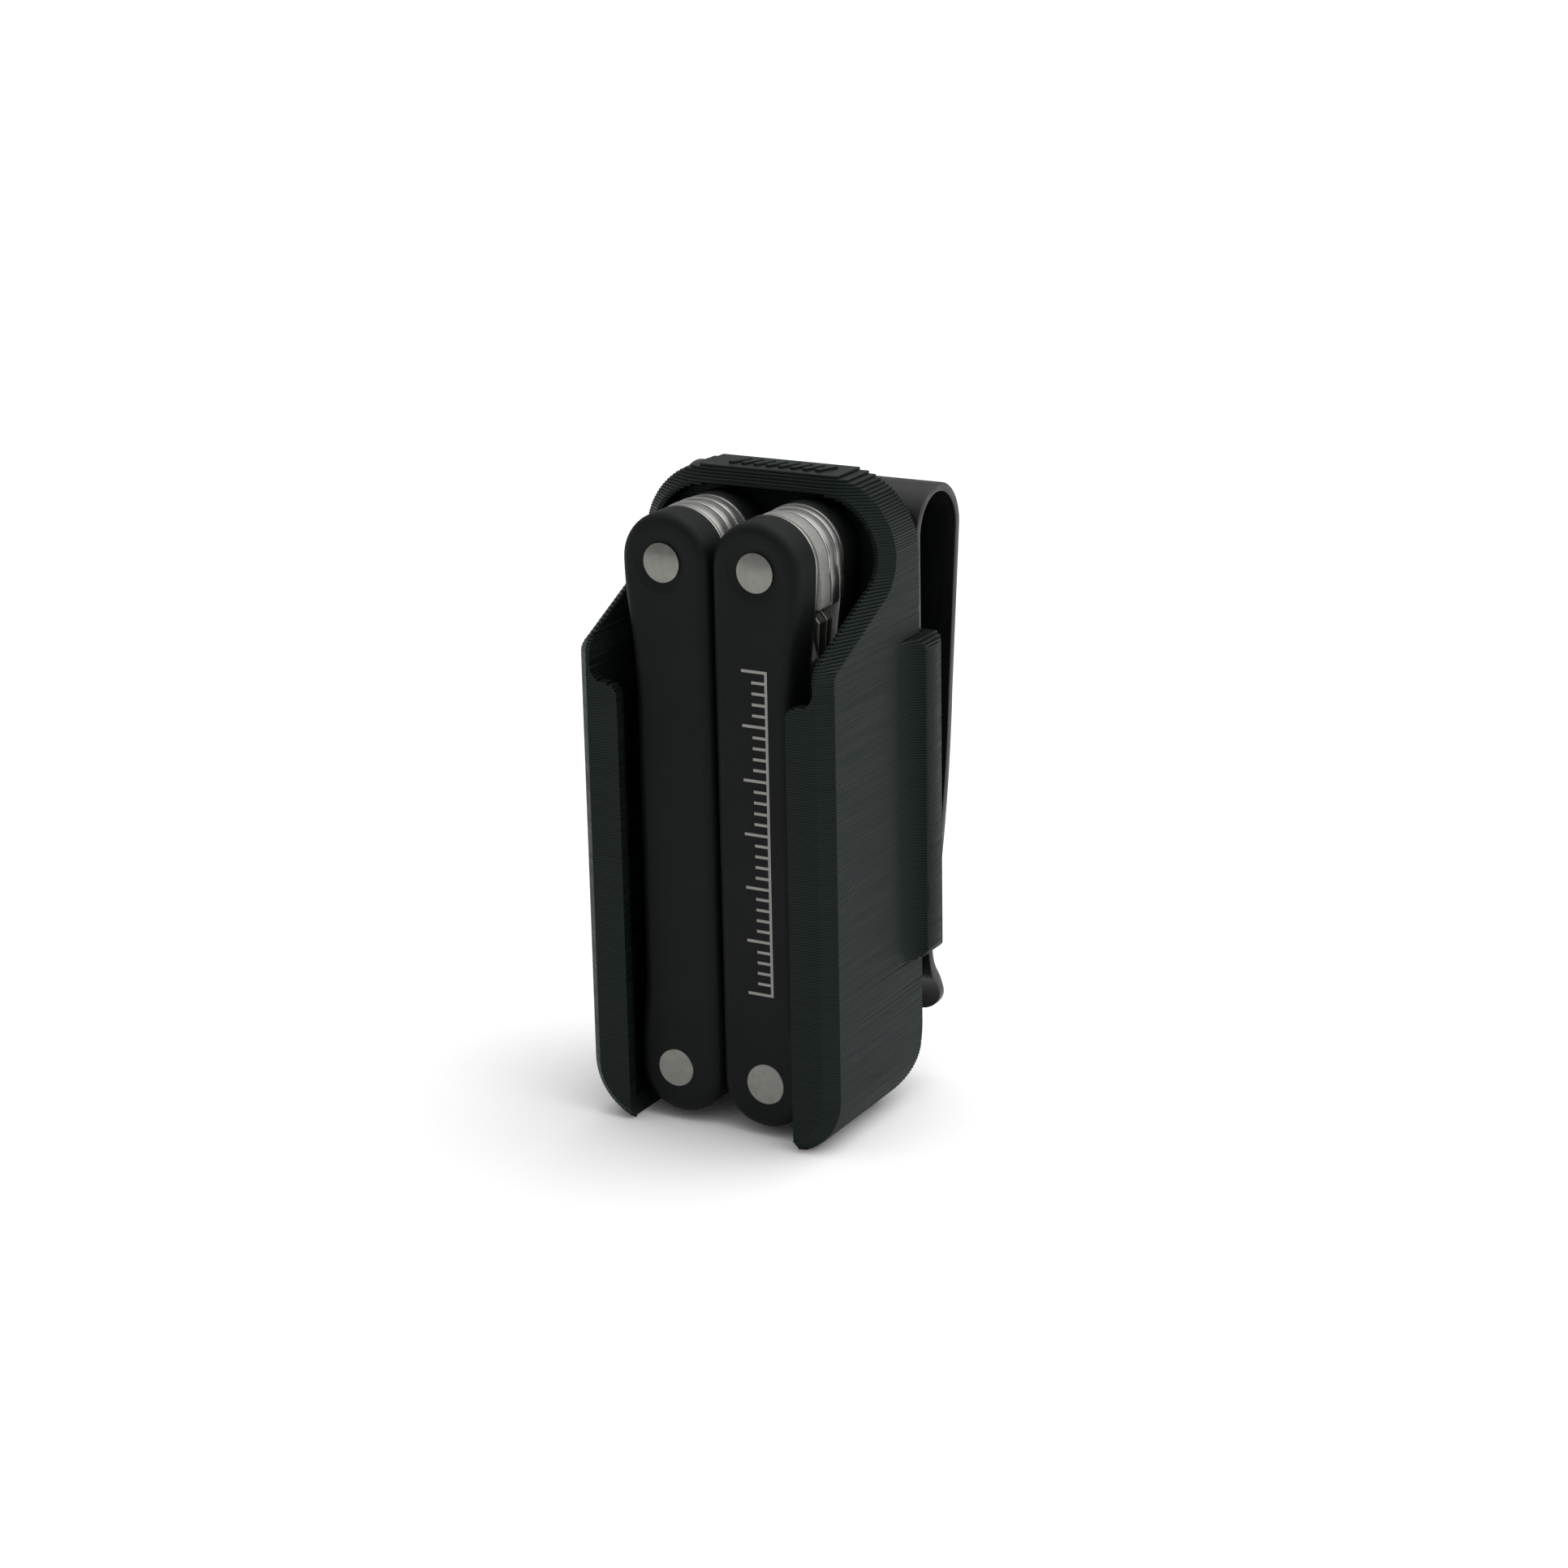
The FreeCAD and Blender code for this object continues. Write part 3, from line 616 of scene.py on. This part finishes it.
def broken_edges(node_name, width, material):
    """A copy of a steel piece with its sharp edges rounded, which stands in for it."""
    piece = merged_copy([node_name], node_name + "_finished")
    select_only(piece)
    bpy.ops.object.mode_set(mode="EDIT")
    bpy.ops.mesh.select_all(action="SELECT")
    bpy.ops.mesh.dissolve_limited(angle_limit=radians(0.5))
    bpy.ops.object.mode_set(mode="OBJECT")
    bevel = piece.modifiers.new("Broken edge", "BEVEL")
    bevel.width = width
    bevel.segments = 2
    bevel.angle_limit = radians(40)
    bpy.ops.object.modifier_apply(modifier=bevel.name)
    give(piece, material)
    smooth(piece, 32)
    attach(piece, body_of(NODES[node_name])[0])
    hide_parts(node_name)
    return piece


class OBJECT_OT_steel_pieces(bpy.types.Operator):
    """Liners, rivets, washers, springs, plier halves and implements in steel; the liners, washers, plier
    halves and implements also get their edges broken
    """

    bl_idname = "object.tool_steel_pieces"
    bl_label = "Steel pieces"

    def execute(self, context):
        settings = context.scene.tool_pieces
        code, edge = settings.steel_colour, settings.edge
        thin_edge = edge / 3
        rivet = steel("Stainless rivet, tumbled", "82827D", 0.3, 0.42, per_mm=1.4, depth=0.004)
        spring = steel("Spring steel, satin", "85847F", 0.28, 0.4, along=(1.0, 1.0, 0.2))
        sheet = steel("Stainless sheet, satin", code, 0.3, 0.42, along=(0.2, 1.0, 1.0))
        washer = steel("Stainless washer, polished", "D2D1CE", 0.12, 0.2, depth=0.0005)
        casting = steel("Stainless casting, bead blasted", "7F7E79", 0.42, 0.56, per_mm=2.6, depth=0.02)
        blade = steel("Stainless blade steel, ground", code, 0.3, 0.42, along=(0.1, 1.0, 0.1), depth=0.0005)
        blasted = steel("Stainless scissors, bead blasted", "9A9B97", 0.62, 0.75, per_mm=2.6)
        dress(RIVETS + PINS, rivet)
        dress(SPRINGS, spring)
        groups = (
            (LINERS, "liner_steel", thin_edge, sheet),
            (WASHERS, "washer_steel", thin_edge, washer),
            (JAWS, "jaw_steel", edge, casting),
            (BLADES, "blade_steel", edge, blade),
            (BLASTED, "blade_steel", edge, blasted),
        )
        for names, slot, width, material in groups:
            for name in names:
                broken_edges(name, width, material)
        return {"FINISHED"}


# ---- stage ------------------------------------------------------------------------------------------
def place_camera(settings):
    """Puts the camera where the whole of the front right side shows."""
    a, e, r = settings.azimuth, settings.elevation, settings.roll
    back = Vector((sin(a) * cos(e), -cos(a) * cos(e), sin(e)))
    right = Vector((cos(a), sin(a), 0))
    up = back.cross(right)
    leaned_right = right * cos(r) + up * sin(r)
    leaned_up = up * cos(r) - right * sin(r)
    target = Vector((0, SCALE_LOW[1], (SCALE_LOW[2] + SCALE_HIGH[2]) / 2))
    shift_x, shift_y = settings.aim
    camera = bpy.data.objects.new("Camera", bpy.data.cameras.new("Camera"))
    camera.data.lens = settings.focal_length
    camera.data.sensor_width = 36.0
    camera.data.clip_start = 0.01
    turned = Matrix((leaned_right, leaned_up, back)).transposed().to_4x4()
    place = target + leaned_right * shift_x + leaned_up * shift_y + back * settings.distance
    camera.matrix_world = Matrix.Translation(place) @ turned
    bpy.context.scene.collection.objects.link(camera)
    bpy.context.scene.camera = camera


def place_sun(name, azimuth, elevation, width, power):
    """A broad, soft light from far off, azimuth degrees round to the right of the front."""
    data = bpy.data.lights.new(name, "SUN")
    data.angle, data.energy = radians(width), power
    lamp = bpy.data.objects.new(name, data)
    a, e = radians(azimuth), radians(elevation)
    towards = Vector((sin(a) * cos(e), -cos(a) * cos(e), sin(e)))
    lamp.rotation_euler = towards.to_track_quat("Z", "Y").to_euler()
    bpy.context.scene.collection.objects.link(lamp)


def studio_world():
    """A dim room with a bright ceiling, so that steel has something to mirror."""
    world = bpy.data.worlds.new("Studio")
    world.use_nodes = True
    tree = world.node_tree
    xyz = add(tree, "SeparateXYZ", {"Vector": add(tree, "TexCoord").outputs["Generated"]})
    rise = {"Value": xyz.outputs["Z"], "From Min": 0.0, "From Max": 0.9, "To Min": 0.35, "To Max": 0.75}
    height = add(tree, "MapRange", rise)
    tree.links.new(height.outputs["Result"], tree.nodes["Background"].inputs["Strength"])
    tree.nodes["Background"].inputs["Color"].default_value = linear("FFFFFF")
    bpy.context.scene.world = world


class OBJECT_OT_stage(bpy.types.Operator):
    """A plain pale floor, soft light from above and the right, and the camera"""

    bl_idname = "object.tool_stage"
    bl_label = "Stage"

    def execute(self, context):
        settings = context.scene.tool_stage
        bpy.ops.object.select_all(action="DESELECT")
        bpy.ops.mesh.primitive_plane_add(size=settings.floor_size, location=(0, 0, 0))
        ground = context.object
        ground.name = "floor"
        material, _, shader, _ = new_material("White card", roughness=0.9)
        shader.inputs["Base Color"].default_value = linear("F6F6F6")
        give(ground, material)
        studio_world()
        context.scene.view_settings.view_transform = "Standard"
        place_sun("Key", 118, 55, 80, 1.8)
        place_sun("Top", 200, 80, 70, 0.7)
        place_camera(settings)
        return {"FINISHED"}


class VIEW3D_PT_tool(bpy.types.Panel):
    """Lists the pieces and their settings in the sidebar"""

    bl_label = "Plier tool"
    bl_idname = "VIEW3D_PT_tool"
    bl_space_type = "VIEW_3D"
    bl_region_type = "UI"
    bl_category = "Tool"

    def draw(self, context):
        for group, operators in PANEL_ROWS:
            box = self.layout.box()
            for name in SETTINGS[group].__annotations__:
                box.prop(getattr(context.scene, group), name)
            for operator in operators:
                box.operator(operator.bl_idname)


PANEL_ROWS = (
    ("tool_holster", (OBJECT_OT_printed_shell, OBJECT_OT_hood_bars)),
    ("tool_clip", (OBJECT_OT_belt_clip,)),
    ("tool_pieces", (OBJECT_OT_scales, OBJECT_OT_steel_pieces)),
    ("tool_stage", (OBJECT_OT_stage,)),
)
CLASSES = (
    HolsterSettings,
    ClipSettings,
    ToolSettings,
    StageSettings,
    OBJECT_OT_printed_shell,
    OBJECT_OT_hood_bars,
    OBJECT_OT_belt_clip,
    OBJECT_OT_scales,
    OBJECT_OT_steel_pieces,
    OBJECT_OT_stage,
    VIEW3D_PT_tool,
)


def register():
    for cls in CLASSES:
        bpy.utils.register_class(cls)
    for name, group in SETTINGS.items():
        setattr(bpy.types.Scene, name, PointerProperty(type=group))


def unregister():
    for name in SETTINGS:
        delattr(bpy.types.Scene, name)
    for cls in reversed(CLASSES):
        bpy.utils.unregister_class(cls)


def main():
    register()
    bpy.ops.object.tool_printed_shell()
    bpy.ops.object.tool_hood_bars()
    bpy.ops.object.tool_belt_clip()
    bpy.ops.object.tool_scales()
    bpy.ops.object.tool_steel_pieces()
    bpy.ops.object.tool_stage()


if __name__ == "__main__":
    main()
